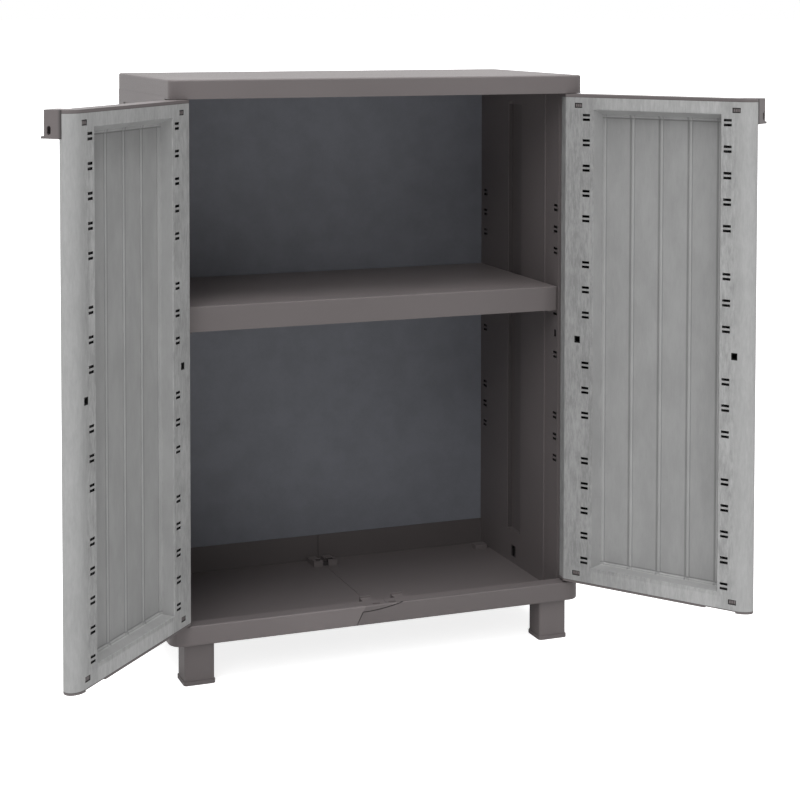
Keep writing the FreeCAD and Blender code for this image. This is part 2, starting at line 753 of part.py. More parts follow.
def side_panel():
    """The right-hand wall: two hollow chambers, a concave jamb, and tongues into base and lid."""
    body = new_body("side_panel_right")
    jamb_corner = f"({pivot_x} - sqrt(({jamb_round}) ^ 2 - ({jamb_front} - {pivot_y}) ^ 2))"

    def section(outer_x, back_y):
        nose = f"{pivot_y} + sqrt(({jamb_round}) ^ 2 - ({outer_x} - {pivot_x}) ^ 2)"
        return [
            (side_inner, back_y),
            (side_inner, jamb_front),
            (jamb_corner, jamb_front, f"-{jamb_round}"),
            (outer_x, nose),
            (outer_x, back_y),
        ]

    shoulder_low = f"{base_top} + fit_gap"
    pad(body, "side_wall_slab", "XY_Plane", shoulder_low, lid_bottom, [section(half_width, rear)])
    rounded(body, "side_rear_edge", "corner_round", upright_edges([(half_width, rear)]))
    inside_base = "(overall_width / 2 - base_rim - fit_gap)"
    inside_upstand = f"({upstand_front} - fit_gap)"
    pad(body, "side_foot_tongue", "XY_Plane", floor_top, shoulder_low, [section(inside_base, inside_upstand)])
    inside_lid = f"({lid_half} - wall - fit_gap)"
    pad(body, "side_head_tongue", "XY_Plane", lid_bottom, f"{lid_bottom} + tongue_rise",
        [section(inside_lid, inside_upstand)])
    groove = rectangle(
        side_inner, "sheet_front - groove_gap", f"{sheet_half} + fit_gap", f"{sheet_rear} + groove_gap"
    )
    pocket(body, "side_sheet_groove", "XY_Plane", floor_top, f"{lid_bottom} + tongue_rise", [groove])
    chamber_inner = f"{side_inner} + wall"
    chamber_outer = f"{inside_base} - wall"
    chambers = [
        rectangle(chamber_inner, f"{jamb_front} + wall", chamber_outer, "side_recess_front - wall"),
        rectangle(
            chamber_inner, "side_recess_rear + wall", chamber_outer, "sheet_front - groove_gap - 2 * wall"
        ),
    ]
    pocket(body, "side_chambers", "XY_Plane", floor_top, f"{lid_bottom} - wall", chambers)
    recess = rectangle(
        "side_recess_front", f"{base_top} + side_recess_low",
        "side_recess_rear", f"{lid_bottom} - side_recess_high"
    )
    pocket(body, "side_recess", "YZ_Plane", side_inner, f"{side_inner} + side_recess_depth", [recess])
    key_y = "((side_recess_front + side_recess_rear) / 2)"
    key_low = f"({base_top} - keyhole_drop)"
    key_high = f"({key_low} + keyhole_height)"
    key_deep = f"{side_inner} + keyhole_depth"
    keyhole = rectangle(f"{key_y} - keyhole_width / 2", key_low, f"{key_y} + keyhole_width / 2", key_high)
    pocket(body, "side_key_slot", "YZ_Plane", side_inner, key_deep, [keyhole])
    key_eye = [(key_y, key_high, "keyhole_round")]
    pocket(body, "side_key_hole", "YZ_Plane", side_inner, key_deep, circles=key_eye)
    rib = rectangle(
        "side_rib_place - side_rib_width / 2", f"{floor_top} + wall",
        "side_rib_place + side_rib_width / 2", lid_bottom
    )
    pad(body, "side_rib", "YZ_Plane", f"{side_inner} - side_rib_height", side_inner, [rib])
    middle = level_plane(body, "side_slot_level", "side_slot_middle")

    def pair(offset):
        return slot_pair(
            "side_slot_front - side_slot_width / 2", "side_slot_front + side_slot_width / 2",
            f"side_slot_middle + {offset} * side_slot_pitch"
        )

    column_gap = "side_slot_rear - side_slot_front"
    skin = (side_inner, f"{side_inner} + wall")
    near = pocket(body, "side_slots_near", "YZ_Plane", *skin, pair("1"))
    slot_field(body, "side_field_near", near, "1", "side_slot_pitch", middle, column_gap)
    far = pocket(body, "side_slots_far", "YZ_Plane", *skin, pair("side_slot_skip"))
    slot_field(body, "side_field_far", far, "3", "side_slot_pitch", middle, column_gap)
    tall = rectangle(
        "side_slot_front - side_hole_width / 2", "side_slot_middle - side_hole_height / 2",
        "side_slot_front + side_hole_width / 2", "side_slot_middle + side_hole_height / 2"
    )
    pocket(body, "side_tall_hole", "YZ_Plane", *skin, [tall])
    vent = rectangle(
        f"{rear} - vent_front", f"{lid_bottom} - vent_low", f"{rear} - vent_rear", f"{lid_bottom} - vent_high"
    )
    pocket(body, "side_outer_slot", "YZ_Plane", f"{half_width} - vent_depth", half_width, [vent])
    return body


# Back sheet

def back_panel():
    """The thin rear sheet, held in grooves in the base, the sides and the lid."""
    sheet_low = f"{floor_top} + wall + fit_gap"
    sheet_high = f"{lid_bottom} + tongue_rise - fit_gap"
    low_corner = (f"-{sheet_half}", "sheet_front", sheet_low)
    panel = block("back_panel", low_corner, (sheet_half, sheet_rear, sheet_high))
    panel.Label = "back_panel"
    return panel


# Shelf and its supports

shelf_half = f"({side_inner} - fit_gap)"
shelf_front = f"({front} + shelf_setback)"
shelf_rear = "(sheet_front - shelf_back_gap)"


def shelf():
    """A tray turned over: top plate, deep front skirt, shallow skirts behind, ribs, a notch in each end."""
    body = new_body("shelf")
    shelf_low = "(shelf_top - shelf_skirt)"
    plate_low = "(shelf_top - wall)"
    outer = rectangle(f"-{shelf_half}", shelf_front, shelf_half, shelf_rear)
    pad(body, "shelf_slab", "XY_Plane", shelf_low, "shelf_top", [outer])
    rounded(body, "shelf_corners", "shelf_round", upright_edges(
        [(x, y) for x in (f"-{shelf_half}", shelf_half) for y in (shelf_front, shelf_rear)]
    ))
    rounded(body, "shelf_edge", "edge_round", level_edges("shelf_top"))
    inner_x = f"({shelf_half} - wall)"
    inner_front = f"({shelf_front} + wall)"
    inner_rear = f"({shelf_rear} - wall)"
    inside = rectangle(f"-{inner_x}", inner_front, inner_x, inner_rear)
    pocket(body, "shelf_inside", "XY_Plane", shelf_low, plate_low, [inside])
    behind = rectangle(f"-{half_width}", inner_front, half_width, rear)
    pocket(body, "shelf_ends", "XY_Plane", shelf_low, support_top, [behind])
    rib = rectangle(f"{rib_first} - rib_wall / 2", inner_front, f"{rib_first} + rib_wall / 2", inner_rear)
    cross_rib = pad(body, "shelf_rib", "XY_Plane", f"{plate_low} - shelf_rib_height", plate_low, [rib])
    row_of(body, "shelf_ribs", cross_rib, "H_Axis", rib_run, rib_count)
    beams = [
        rectangle(f"-{inner_x}", f"{y} - shelf_beam_wall / 2", inner_x, f"{y} + shelf_beam_wall / 2")
        for y in ("shelf_beam_front", "shelf_beam_rear")
    ]
    pad(body, "shelf_beams", "XY_Plane", f"{plate_low} - shelf_beam_height", plate_low, beams)
    notch_half = "(side_rib_width / 2 + fit_gap)"
    notches = [
        rectangle(low, f"side_rib_place - {notch_half}", high, f"side_rib_place + {notch_half}")
        for low, high in (
            (f"-{half_width}", f"-{shelf_half} + side_rib_height"),
            (f"{shelf_half} - side_rib_height", half_width)
        )
    ]
    pocket(body, "shelf_notches", "XY_Plane", shelf_low, "shelf_top", notches)
    return body


def shelf_supports():
    """Four blocks that hook into the upper slots of the sides and carry the shelf's ends."""
    blocks = []
    tab_half = "(side_slot_width / 2 - fit_gap)"
    for word, side in (("left", -1), ("right", 1)):
        for end, place in (("front", "side_slot_front"), ("rear", "side_slot_rear")):
            wall_x = side_inner if side > 0 else f"-{side_inner}"
            reach = sorted((f"{wall_x} - {side} * support_reach", wall_x), key=size)
            grip = sorted((wall_x, f"{wall_x} + {side} * support_grip"), key=size)
            seat = block(
                f"support_{end}_{word}_seat", (reach[0], f"{place} - support_width / 2", support_bottom),
                (reach[1], f"{place} + support_width / 2", support_top)
            )
            tab = block(
                f"support_{end}_{word}_tab",
                (grip[0], f"{place} - {tab_half}", support_bottom),
                (grip[1], f"{place} + {tab_half}", f"{support_bottom} + slot_height - 2 * fit_gap")
            )
            blocks += [seat, tab]
    supports = joined("shelf_supports", blocks)
    supports.Label = "shelf_supports"
    return supports


# Doors
# Each door is drawn closed, right-hand, with its pivot on the z axis, and turned to its place at the end.
# Across the door x runs as -x towards the free end; through it y runs from outer to inner face.

outer_face = "(-door_face)"


def across(distance):
    """The x of a place at a distance from the hinge corner of the inner face."""
    return f"(-hinge_corner - ({distance}))"


half_thick = "(door_thickness / 2)"
middle_y = f"({door_inside} - {half_thick})"
round_start = f"({free_end} + free_length)"
end_chord = f"((free_length - free_nose) ^ 2 + {half_thick} ^ 2 - free_nose ^ 2)"
side_round = f"({end_chord} / (2 * ({half_thick} - free_nose)))"


def free_end_arcs(inset):
    """Three arcs round the free end from the inner face to the outer, set in from the skin by a distance."""
    nose = f"(free_nose - {inset})"
    along = f"({nose} * (free_length - free_nose) / ({side_round} - free_nose))"
    aside = f"({nose} * ({side_round} - {half_thick}) / ({side_round} - free_nose))"
    return [
        (round_start, f"{door_inside} - {inset}", f"{side_round} - {inset}"),
        (f"{free_end} + free_nose - {along}", f"{middle_y} + {aside}", nose),
        (f"{free_end} + free_nose - {along}", f"{middle_y} - {aside}", f"{side_round} - {inset}"),
    ]


def door_outline():
    """The section of panel and caps: a barrel round the pivot, two flat faces, and a rounded free end."""
    return [
        (round_start, outer_face),
        ("sqrt(hinge_round ^ 2 - door_face ^ 2)", outer_face, "hinge_round"),
        ("hinge_round * cos(30)", "hinge_round * sin(30)"),
        ("-hinge_corner", door_inside),
        *free_end_arcs("0"),
    ]


stile_near_end = "(recess_near - wall)"
stile_far = "(recess_far + wall)"
ridge_step = "((recess_floor_far - recess_floor_near) / 4)"
ridge_round = "((ridge_width ^ 2 / 4 + ridge_height ^ 2) / (2 * ridge_height))"
recess_floor = f"({door_inside} - recess_depth)"
plank_bottom = f"({panel_bottom} + recess_floor_low)"
plank_top = f"({panel_top} - recess_floor_high)"
door_middle = f"(({panel_bottom} + {panel_top}) / 2 + door_slot_lift)"
outer_room = f"(({panel_top} - {panel_bottom}) / 2 - door_slot_margin)"
outer_rows = f"(floor({outer_room} / door_slot_pitch - door_slot_skip) + 1)"
outer_pair = f"(door_slot_skip + {outer_rows} - 1) * door_slot_pitch"
inner_rows = "3"


def stile_hollows():
    """The open chambers inside the two stiles; the far one follows the round of the free end."""
    inner_skin = f"{door_inside} - wall"
    outer_skin = f"{outer_face} + wall"
    near = rectangle(across(stile_near_end), outer_skin, across("stile_near"), inner_skin)
    far = [
        (round_start, outer_skin),
        (across(stile_far), outer_skin),
        (across(stile_far), inner_skin),
        *free_end_arcs("wall"),
    ]
    return [near, far]


def door_panel():
    """A hollow-stiled panel with a sloped recess, ridges in it, grooves outside, and slots in the stiles."""
    body = new_body("right_door_panel_closed")
    pad(body, "door_slab", "XY_Plane", panel_bottom, panel_top, [door_outline()])
    rounded(body, "door_hinge_corner", "hinge_corner_round", upright_edges([("-hinge_corner", door_inside)]))
    recess = body.newObject("PartDesign::SubtractiveWedge", "door_recess")
    bind(recess, {
        "Placement.Base.y": recess_floor,
        "Xmin": across("recess_floor_far"),
        "Xmax": across("recess_floor_near"),
        "Zmin": plank_bottom,
        "Zmax": plank_top,
        "Ymin": "0",
        "Ymax": "recess_depth",
        "X2min": across("recess_far"),
        "X2max": across("recess_near"),
        "Z2min": f"{panel_bottom} + recess_low",
        "Z2max": f"{panel_top} - recess_high",
    })
    doc.recompute()
    pocket(body, "stile_hollows", "XY_Plane", panel_bottom, panel_top, stile_hollows())
    ridge_half = "ridge_width / 2"
    near_ridge = across("recess_floor_near")
    ridge = [
        (f"{near_ridge} - {ridge_half}", recess_floor),
        (f"{near_ridge} + {ridge_half}", recess_floor, ridge_round),
    ]
    one_ridge = pad(body, "upright_ridge", "XY_Plane", plank_bottom, plank_top, [ridge])
    row_of(body, "upright_ridges", one_ridge, "H_Axis", f"4 * {ridge_step}", 5, True)
    rails = [
        [(recess_floor, f"{z} - {ridge_half}", ridge_round), (recess_floor, f"{z} + {ridge_half}")]
        for z in (plank_bottom, plank_top)
    ]
    pad(body, "cross_ridges", "YZ_Plane", across("recess_floor_far"), across("recess_floor_near"), rails)
    groove = [
        (f"{near_ridge} - plank_groove", outer_face),
        (f"{near_ridge} + plank_groove", outer_face),
        (near_ridge, f"{outer_face} + plank_groove / 2"),
    ]
    one_groove = pocket(body, "plank_groove", "XY_Plane", panel_bottom, panel_top, [groove])
    row_of(body, "plank_grooves", one_groove, "H_Axis", f"4 * {ridge_step}", 5, True)
    middle = level_plane(body, "door_middle_level", door_middle)

    def pair(offset):
        return slot_pair(
            across("door_slot_near + door_slot_width / 2"), across("door_slot_near - door_slot_width / 2"),
            f"{door_middle} + {offset} * door_slot_pitch"
        )

    column_gap = "door_slot_far - door_slot_near"
    skin = (f"{door_inside} - wall", door_inside)
    near = pocket(body, "door_slots_near", "XZ_Plane", *skin, pair("1"))
    slot_field(body, "door_field_near", near, inner_rows, "door_slot_pitch", middle, column_gap, True)
    far = pocket(body, "door_slots_far", "XZ_Plane", *skin, pair("door_slot_skip"))
    slot_field(body, "door_field_far", far, outer_rows, "door_slot_pitch", middle, column_gap, True)
    windows = []
    for place in ("latch_near", "latch_far"):
        low, high = across(f"{place} + latch_width / 2"), across(f"{place} - latch_width / 2")
        for level in (f"{panel_bottom} + latch_low", f"{panel_top} - latch_high"):
            windows.append(rectangle(low, f"{level} - latch_height / 2", high, f"{level} + latch_height / 2"))
        windows.append(rectangle(
            across(f"{place} + mid_hole / 2"), f"{door_middle} - mid_hole / 2",
            across(f"{place} - mid_hole / 2"), f"{door_middle} + mid_hole / 2"
        ))
    pocket(body, "latch_windows", "XZ_Plane", *skin, windows)
    return body


def door_cap(label, end):
    """A cap across one end of a door: plugs with hooks reach into the stiles, a pin stands on the pivot."""
    body = new_body(label)
    if end == "top":
        low, high = panel_top, door_top
        plug_low, plug_high = f"{door_middle} + {outer_pair}", panel_top
        pin_low, pin_high = door_top, f"{door_top} + door_gap_high + pin_length - pin_lead"
        latch = f"{panel_top} - latch_high"
    else:
        low, high = door_bottom, panel_bottom
        plug_low, plug_high = panel_bottom, f"{door_middle} - {outer_pair}"
        pin_low, pin_high = f"{door_bottom} - door_gap_low - pin_length + pin_lead", door_bottom
        latch = f"{panel_bottom} + latch_low"
    pad(body, label + "_plate", "XY_Plane", low, high, [door_outline()])
    corner = upright_edges([("-hinge_corner", door_inside)])
    rounded(body, label + "_hinge_corner", "hinge_corner_round", corner)
    inside = f"{door_inside} - wall - fit_gap"
    outside = f"{outer_face} + wall + fit_gap"
    plugs = [
        rectangle(across(f"{stile_near_end} - fit_gap"), outside, across("stile_near + wall"), inside),
        rectangle(across("latch_far + latch_width / 2"), outside, across(f"{stile_far} + fit_gap"), inside),
    ]
    pad(body, label + "_plugs", "XY_Plane", plug_low, plug_high, plugs)
    hooks = [
        rectangle(
            across(f"{place} + latch_width / 2 - latch_gap"), f"{latch} - latch_height / 2 + latch_gap",
            across(f"{place} - latch_width / 2 + latch_gap"), f"{latch} + latch_height / 2 - latch_gap"
        )
        for place in ("latch_near", "latch_far")
    ]
    pad(body, label + "_hooks", "XZ_Plane", inside, f"{door_inside} - latch_gap", hooks)
    pad(body, label + "_pin", "XY_Plane", pin_low, pin_high, circles=[("0", "0", "hinge_pin")])
    if end == "bottom":
        pad(body, label + "_collar", "XY_Plane", f"{base_top} + fit_gap", door_bottom,
            circles=[("0", "0", "collar_round")])
        step = rectangle(across("cap_step_far"), outer_face, across("cap_step_near"), door_inside)
        pocket(body, label + "_step", "XY_Plane", door_bottom, f"{door_bottom} + cap_step_height", [step])
    return body


def door_handle():
    """A hood at the top of the free end: its end plate wraps the round, and the grip is open below."""
    body = new_body("right_door_handle_closed")
    end_x = f"(handle_gap / 2 - {pivot_x})"
    bottom = f"({door_top} - handle_height)"
    nose = f"({outer_face} - handle_reach)"
    wrap = rectangle(end_x, outer_face, f"{free_end} + free_nose", f"{outer_face} + handle_wrap")
    pad(body, "handle_wrap", "XY_Plane", bottom, door_top, [wrap])
    end_round = [(round_start, f"{outer_face} - fit_gap"), *free_end_arcs("(-fit_gap)")]
    pocket(body, "handle_seat", "XY_Plane", bottom, door_top, [end_round])
    hood = rectangle(end_x, nose, f"{end_x} + handle_length", outer_face)
    pad(body, "handle_hood", "XY_Plane", bottom, door_top, [hood])
    inside = rectangle(
        f"{end_x} + wall", f"{nose} + wall", f"{end_x} + handle_length - wall", f"{outer_face} - wall"
    )
    pocket(body, "handle_inside", "XY_Plane", bottom, f"{door_top} - wall", [inside])
    rounded(body, "handle_nose", "handle_round", upright_edges([(end_x, nose)]))
    rounded(body, "handle_far_corner", "edge_round", upright_edges([(f"{end_x} + handle_length", nose)]))
    flange = rectangle(end_x, f"{nose} - handle_flange", f"{end_x} + handle_length", f"{nose} + wall")
    pad(body, "handle_flange", "XY_Plane", bottom, f"{bottom} + handle_flange_height", [flange])
    slot_y = f"({outer_face} - padlock_slot_reach)"
    slot_z = f"({door_top} - padlock_slot_drop)"
    half = "(padlock_slot_width / 2)"
    straight = "(padlock_slot_height / 2 - padlock_slot_width / 2)"
    plate = (end_x, f"{end_x} + wall")
    shank = rectangle(
        f"{slot_y} - {half}", f"{slot_z} - {straight}", f"{slot_y} + {half}", f"{slot_z} + {straight}"
    )
    pocket(body, "padlock_slot", "YZ_Plane", *plate, [shank])
    pocket(body, "padlock_slot_ends", "YZ_Plane", *plate,
           circles=[(slot_y, f"{slot_z} {sign} {straight}", half) for sign in "-+"])
    return body


def hung(label, source, side):
    """A closed door piece set on its pivot and swung open: a right-hand copy or its left-hand twin."""
    if side == "right":
        piece = doc.addObject("Part::Refine", label)
        piece.Source = source
        piece.Label = label
        turn, angle, x = FreeCAD.Vector(0, 0, 1), "right_open", pivot_x
    else:
        piece = mirrored(label, source)
        turn, angle, x = FreeCAD.Vector(0, 0, -1), "left_open", f"-{pivot_x}"
    piece.Placement = FreeCAD.Placement(FreeCAD.Vector(0, 0, 0), FreeCAD.Rotation(turn, size(angle)))
    bind(piece, {"Placement.Base.x": x, "Placement.Base.y": pivot_y, "Placement.Rotation.Angle": angle})
    return piece


def doors():
    """Both doors: panel, two caps and handle each, as they stand open."""
    pieces = {
        "door_panel": door_panel(),
        "door_top_cap": door_cap("top_cap_closed", "top"),
        "door_bottom_cap": door_cap("bottom_cap_closed", "bottom"),
        "door_handle": door_handle(),
    }
    return [
        hung(f"{side}_{word}", piece, side) for side in ("left", "right") for word, piece in pieces.items()
    ]


# Joint between the base halves

def base_joint_clip():
    """A flat bar with two heads, pressed into the key seats of both halves."""
    low = (f"{key_middle} - key_span / 2", "key_place - key_head / 2 + fit_gap", floor_top)
    high = (f"{key_middle} + key_span / 2", "key_place + key_head / 2 - fit_gap", f"{floor_top} + key_height")
    clip = block("base_joint_clip", low, high)
    clip.Label = "base_joint_clip"
    return clip


# The cabinet

pieces = [
    top_panel(),
    *base_halves(),
    base_joint_clip(),
    *feet(),
    side_panel(),
    back_panel(),
    shelf(),
    shelf_supports(),
    *doors(),
]
pieces.append(mirrored("side_panel_left", doc.getObject("side_panel_right")))
doc.recompute()

for thing in doc.Objects:
    if "Invalid" in thing.State or "Error" in thing.State:
        raise ValueError(f"{thing.Label} did not build")
for piece in pieces:
    if piece.Shape.isNull() or not piece.Shape.isValid():
        raise ValueError(f"{piece.Label} has no sound shape")

os.makedirs("parts", exist_ok=True)
for piece in pieces:
    piece.Shape.exportStep(f"parts/{piece.Label}.step")
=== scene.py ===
import math

import bpy
import numpy as np
from mathutils import Matrix, Vector

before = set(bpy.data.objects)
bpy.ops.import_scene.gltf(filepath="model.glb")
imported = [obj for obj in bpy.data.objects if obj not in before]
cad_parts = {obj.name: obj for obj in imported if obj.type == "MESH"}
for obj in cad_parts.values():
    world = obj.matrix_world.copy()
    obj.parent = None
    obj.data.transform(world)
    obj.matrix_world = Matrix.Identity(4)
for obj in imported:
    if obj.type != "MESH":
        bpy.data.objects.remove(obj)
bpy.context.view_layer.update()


# Base: two injection-moulded trays of taupe plastic that meet in a lap seam across the front skin.
# A bar pressed into two seats near the rear keys them together. The skin is a dull satin, a little
# cloudy where the melt cooled, with a very fine spark-eroded texture.

class Value:
    """A shader socket that Python's operators work on; each operation adds a Math node."""

    def __init__(self, tree, out):
        self.tree = tree
        self.out = out

    def node(self, kind, settings, output=0, **inputs):
        """Any node: its type, its settings, which output is wanted, and its inputs.

        An input goes by i and its number, or by its label with _ for a space.
        It is given a number, a colour or a vector, or another value to link.
        """
        made = self.tree.nodes.new("ShaderNode" + kind)
        for name, setting in settings.items():
            setattr(made, name, setting)
        for name, given in inputs.items():
            key = int(name[1:]) if name[1:].isdigit() else name.replace("_", " ")
            if isinstance(given, Value):
                self.tree.links.new(given.out, made.inputs[key])
            else:
                made.inputs[key].default_value = given
        return Value(self.tree, made.outputs[output])

    def maths(self, operation, first, second=0.0):
        return self.node("Math", {"operation": operation}, i0=first, i1=second)

    def larger(self, other):
        return self.maths("MAXIMUM", self, other)

    def smaller(self, other):
        return self.maths("MINIMUM", self, other)

    def fraction(self):
        return self.maths("FRACT", self)

    def __add__(self, other):
        return self.maths("ADD", self, other)

    def __radd__(self, other):
        return self.maths("ADD", other, self)

    def __sub__(self, other):
        return self.maths("SUBTRACT", self, other)

    def __rsub__(self, other):
        return self.maths("SUBTRACT", other, self)

    def __mul__(self, other):
        return self.maths("MULTIPLY", self, other)

    def __rmul__(self, other):
        return self.maths("MULTIPLY", other, self)

    def __truediv__(self, other):
        return self.maths("DIVIDE", self, other)

    def __neg__(self):
        return self * -1.0

    def __abs__(self):
        return self.maths("ABSOLUTE", self)

    def axes(self):
        """The three parts of a place, each a value."""
        apart = self.node("SeparateXYZ", {}, Vector=self)
        return [Value(self.tree, out) for out in apart.out.node.outputs]

    def limited(self, low, high, start=0.0, end=1.0):
        """Low to high mapped to start to end, smoothly, and held beyond them."""
        return self.node("MapRange", {"interpolation_type": "SMOOTHSTEP"},
                         Value=self, From_Min=low, From_Max=high, To_Min=start, To_Max=end)

    def falling(self, low, high):
        """1 below low and 0 above high, smoothly from one to the other."""
        return self.limited(low, high, 1.0, 0.0)

    def between(self, low, high, blend):
        """1 from low to high and 0 outside, with each edge blended inside that span."""
        return self.limited(low, low + blend) * self.falling(high - blend, high)

    def noise(self, scale, detail=2.0, roughness=0.55, draw=1.0):
        """Noise read at this place, drawn out upwards."""
        place = self.node("Mapping", {}, Vector=self, Scale=(scale, scale, scale / draw))
        return self.node("TexNoise", {}, Vector=place,
                         Scale=1.0, Detail=detail, Roughness=roughness)


def plain_mix(mask, first, second):
    """One colour to another by a mask."""
    return mask.node("Mix", {"data_type": "RGBA"}, output=2, i0=mask, i6=first, i7=second)


def tinted(colour, shade):
    """A colour times a number, with full opacity."""
    return (*(channel * shade for channel in colour), 1)


def shaded(skin, shade):
    """A colour, which may vary, times a shade that varies."""
    return shade.node("VectorMath", {"operation": "SCALE"}, i0=skin, Scale=shade)


def new_material(name):
    """A material with its surface shader, and the object's own position as a value."""
    made = bpy.data.materials.new(name)
    made.use_nodes = True
    tree = made.node_tree
    shader = tree.nodes["Principled BSDF"]
    place = Value(tree, tree.nodes.new("ShaderNodeTexCoord").outputs["Object"])
    return made, shader, place


def feed(shader, socket, given):
    """A value linked to one of the shader's sockets."""
    given.tree.links.new(given.out, shader.inputs[socket])


def textured(shader, relief, depth, strength=0.6):
    """A fine relief of the given depth, as a bump."""
    bump = relief.node("Bump", {}, Height=relief, Distance=depth, Strength=strength)
    feed(shader, "Normal", bump)


TAUPE = (0.155, 0.137, 0.137)
CLOUD_SCALE = 3.0
SPECK_SCALE = 900.0
NOISE_SPAN = (0.3, 0.7)
SATIN_FROM = -0.05
SATIN_TO = 0.07
SPECK_DEPTH = 0.00004
PLASTIC_SPECULAR = 0.4


def moulded_plastic(name, colour, cloud=0.06, roughness=0.46, shade=None):
    """Injection-moulded plastic: a cloudy tone and a fine spark-eroded texture.

    The shade is a function of place that the colour is multiplied by; it carries painted light and
    shade.
    """
    made, shader, place = new_material(name)
    tone = place.noise(CLOUD_SCALE).limited(*NOISE_SPAN)
    skin = plain_mix(tone, tinted(colour, 1 - cloud), tinted(colour, 1 + cloud))
    feed(shader, "Base Color", shaded(skin, shade(place)) if shade else skin)
    specks = place.noise(SPECK_SCALE)
    satin = specks.limited(*NOISE_SPAN, roughness + SATIN_FROM, roughness + SATIN_TO)
    feed(shader, "Roughness", satin)
    textured(shader, specks, SPECK_DEPTH)
    shader.inputs["Specular IOR Level"].default_value = PLASTIC_SPECULAR
    return made


def dress(names, material):
    """The material on every named node's object."""
    for name in names:
        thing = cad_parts[name]
        thing.data.materials.clear()
        thing.data.materials.append(material)


BASE_ROUGHNESS = 0.5
BASE_FRONT = -0.172
FRONT_BLEND = 0.001
SEAM_FOOT = (-0.046, 0.0625)
SEAM_KNEE = (-0.035, 0.083)
SEAM_HEAD = (0.032, 0.0925)
SEAM_SAG = 0.0082
SEAM_HALF = 0.0011
KNEE_BLEND = 0.0005
ARC_END_BLEND = 0.01
TRAY_PARTING = 0.001
FRONT_PAINTED_LIGHT = (1.18, 0.91)
UPSTAND_FRONT = 0.167
UPSTAND_BLEND = 0.003
UPSTAND_PAINTED_SHADE = 0.35
SEAT_MIDDLE = (0.0056, 0.134)
SEAT_HALF = (0.0156, 0.0051)
SEAT_BLEND = 0.0003
SEAT_HEIGHTS = (0.066, 0.0772)
SEAT_HEIGHT_BLEND = 0.0004
SEAM_AND_SEAT_PAINTED_SHADE = 0.75


def front_seam(x, height):
    """How far right of the seam's foot a point of the front lies, and 1 on the seam itself.

    The foot is a straight line that leans from SEAM_FOOT to SEAM_KNEE. From there to SEAM_HEAD the
    seam is an arc: at a share t of its run it has climbed t of its rise, less t (1 - t) of its sag.
    """
    lean = (SEAM_KNEE[0] - SEAM_FOOT[0]) / (SEAM_KNEE[1] - SEAM_FOOT[1])
    sideways = x - SEAM_FOOT[0] - (height - SEAM_FOOT[1]) * lean
    foot = abs(sideways).falling(0.0, SEAM_HALF)
    foot = foot * height.falling(SEAM_KNEE[1], SEAM_KNEE[1] + KNEE_BLEND)
    run = (x - SEAM_KNEE[0]) / (SEAM_HEAD[0] - SEAM_KNEE[0])
    line = run * (SEAM_HEAD[1] - SEAM_KNEE[1]) + SEAM_KNEE[1] - run * (1 - run) * SEAM_SAG
    arc = abs(height - line).falling(0.0, SEAM_HALF) * run.between(0.0, 1.0, ARC_END_BLEND)
    return sideways, foot.larger(arc)


def tray_shade(place):
    """Painted shade in the front seam, the bar's seats and on the upstand; painted light on the
    left front, painted shade on the right front.
    """
    x, y, height = place.axes()
    sideways, seam = front_seam(x, height)
    front = y.falling(BASE_FRONT, BASE_FRONT + FRONT_BLEND)
    # Painted light on the left tray's front, painted shade on the right tray's front.
    lit = front * sideways.limited(-TRAY_PARTING, 0.0, *FRONT_PAINTED_LIGHT) + (1 - front)
    # Painted shade on the rear upstand.
    upstand = y.limited(UPSTAND_FRONT - UPSTAND_BLEND, UPSTAND_FRONT)
    seats = abs(x - SEAT_MIDDLE[0]).falling(SEAT_HALF[0], SEAT_HALF[0] + SEAT_BLEND)
    seats = seats * abs(y - SEAT_MIDDLE[1]).falling(SEAT_HALF[1], SEAT_HALF[1] + SEAT_BLEND)
    seats = seats * height.between(*SEAT_HEIGHTS, SEAT_HEIGHT_BLEND)
    # Painted shade in the seam's gap and in the seats' hollows.
    dark = (seam * front).larger(seats) * SEAM_AND_SEAT_PAINTED_SHADE
    return (1 - dark) * (1 - upstand * UPSTAND_PAINTED_SHADE) * lit


dress(["base_left", "base_right", "base_joint_clip"],
      moulded_plastic("base taupe plastic", TAUPE, roughness=BASE_ROUGHNESS, shade=tray_shade))


# Feet: four hollow legs pushed up into the base.
# Moulded in the same taupe plastic, with a flared toe that stands on the ground.

FOOT_PAINTED_LIGHT = 1.07

# The feet's taupe is made lighter: painted light on the same plastic.
foot_taupe = tuple(FOOT_PAINTED_LIGHT * channel for channel in TAUPE)
feet = [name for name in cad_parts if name.startswith("foot_")]
dress(feet, moulded_plastic("foot taupe plastic", foot_taupe))


# Side panels: hollow walls that stand in the base, with a concave front jamb for the door's edge.
# Blow-moulded in taupe plastic, with a slightly cloudier skin than the injection-moulded pieces.

SIDE_CLOUD = 0.08
SIDE_HOLLOW = (0.3136, 0.3300)
HOLLOW_BLEND = 0.0004
INNER_PAINTED_SHADE = 0.89
FRONT_SLOTS = (-0.1388, -0.1236)
REAR_SLOTS = (0.1436, 0.1590)
SLOT_HEIGHTS = (0.27, 0.72)
SLOT_RUN_BLEND = 0.001
OPENING_BLEND = 0.0002
OPENING_PAINTED_SHADE = 0.97
KEYHOLE = (0.0215, 0.0335)
KEYHOLE_HEIGHTS = (0.0790, 0.0990)
KEYHOLE_RIM = (0.0185, 0.0365)
RIM_BLEND = 0.0010
RIM_PAINTED_SHADE = 0.9
SUNK_PANEL = (0.0006, 0.0544)
SUNK_HEIGHTS = (0.1230, 0.8580)
SUNK_BLEND = 0.0004
SUNK_REAR_STEP = (SUNK_PANEL[1] - 0.0018, SUNK_PANEL[1] - 0.0008)
SUNK_PAINTED_SHADE = (0.20, 0.50)


